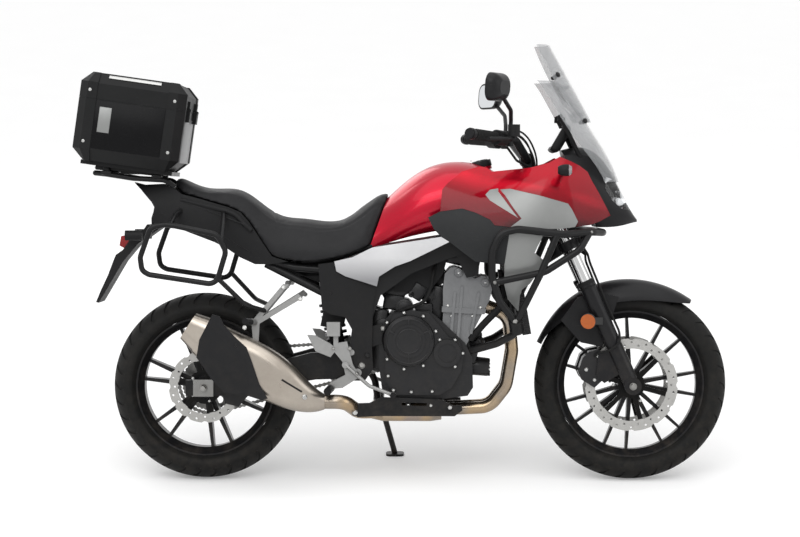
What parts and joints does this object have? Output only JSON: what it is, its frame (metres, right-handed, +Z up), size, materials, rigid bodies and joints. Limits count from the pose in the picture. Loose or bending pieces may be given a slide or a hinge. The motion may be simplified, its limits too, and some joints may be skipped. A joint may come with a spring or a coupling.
{
  "type": "motorcycle",
  "caption": "Adventure motorcycle on its side stand, with screen, crash bars, pannier racks and an opening top case.",
  "frame": {"origin": "centre of the bounding box at ground level, the machine leaning on its side stand", "axes": "+X forward, +Y to the rider's left, +Z up"},
  "size_m": [2.2021, 0.8796, 1.4716],
  "materials": {
    "frame_black": "satin powder coat",
    "black_plastic": "grained",
    "dark_grey_plastic": "satin",
    "red_paint": "gloss candy coat",
    "silver_paint": "satin",
    "white_paint": "gloss",
    "engine_black": "painted casting",
    "engine_grey": "painted casting",
    "header_steel": "heat tinted",
    "silencer_steel": "brushed",
    "steel": "machined",
    "chrome": "polished",
    "alloy": "bead blasted",
    "black_alloy": "satin black",
    "tyre_rubber": "worn",
    "rubber": "matt",
    "seat_cover": "grained vinyl",
    "screen": "tinted clear",
    "lamp_glass": "clear",
    "case_black": "grained"
  },
  "bodies": {
    "chassis": {"main_frame": "frame_black", "subframe": "frame_black", "engine_block": "engine_black", "cylinder_and_head": "engine_grey", "engine_covers": "engine_black", "radiator": "black_alloy", "exhaust_headers": "header_steel", "exhaust_chamber": "header_steel", "silencer": "silencer_steel", "silencer_heat_shield": "black_plastic", "swingarm": "frame_black", "swingarm_shafts": "steel", "rear_shock": "frame_black", "rear_caliper": "black_alloy", "drive_chain": "steel", "under_seat_box": "black_plastic", "fuel_tank": "red_paint", "seat": "seat_cover", "tail_cowl": "black_plastic", "side_fairings": "red_paint", "upper_side_panels": "silver_paint", "lower_shrouds": "silver_paint", "knee_panels": "dark_grey_plastic", "mid_side_panels": "white_paint", "pivot_covers": "black_plastic", "nose_cowl": "black_plastic", "headlight": "lamp_glass", "windscreen": "screen", "instrument_panel": "black_plastic", "turn_signals": "black_plastic", "signal_lenses": "lamp_glass", "crash_bars": "frame_black", "engine_guard": "black_alloy", "footpegs": "alloy", "rear_rack": "frame_black", "case_body": "case_black", "pannier_racks": "frame_black", "rear_mudguard": "black_plastic", "tail_lamp": "lamp_glass"},
    "fork": {"steering_yokes": "black_alloy", "fork_stanchions": "chrome", "fork_sliders": "black_alloy", "front_axle": "steel", "handlebar": "frame_black", "grips": "rubber", "hand_controls": "black_plastic", "mirrors": "black_plastic", "front_fender": "silver_paint", "front_calipers": "black_alloy", "brake_hoses": "rubber", "fork_reflectors": "lamp_glass"},
    "front_wheel": {"front_tyre": "tyre_rubber", "front_rim": "black_alloy", "front_discs": "steel"},
    "rear_wheel": {"rear_tyre": "tyre_rubber", "rear_rim": "black_alloy", "rear_disc": "steel", "rear_sprocket": "steel"},
    "side_stand": {"side_stand": "frame_black"},
    "case_lid": {"case_lid": "case_black"}
  },
  "joints": [
    {"name": "steering", "type": "hinge", "parent": "chassis", "child": "fork", "pos_m": [0.47729, -0.05434, 0.89132], "axis": [-0.4147, 0.1345, 0.9], "range_deg": [-38, 38]},
    {"name": "front_wheel_spin", "type": "hinge", "parent": "fork", "child": "front_wheel", "pos_m": [0.77514, -0.13918, 0.32362], "axis": [0, 0.989, -0.1478], "continuous": true},
    {"name": "rear_wheel_spin", "type": "hinge", "parent": "chassis", "child": "rear_wheel", "pos_m": [-0.66986, -0.14066, 0.31373], "axis": [0, 0.989, -0.1478], "continuous": true},
    {"name": "side_stand_fold", "type": "hinge", "parent": "chassis", "child": "side_stand", "pos_m": [-0.08486, 0.01752, 0.23549], "axis": [0, 0.9072, 0.4206], "range_deg": [0, 90]},
    {"name": "case_lid_hinge", "type": "hinge", "parent": "chassis", "child": "case_lid", "pos_m": [-0.71534, -0.00283, 1.23596], "axis": [0, 0.989, -0.1478], "range_deg": [0, 80]}
  ]
}
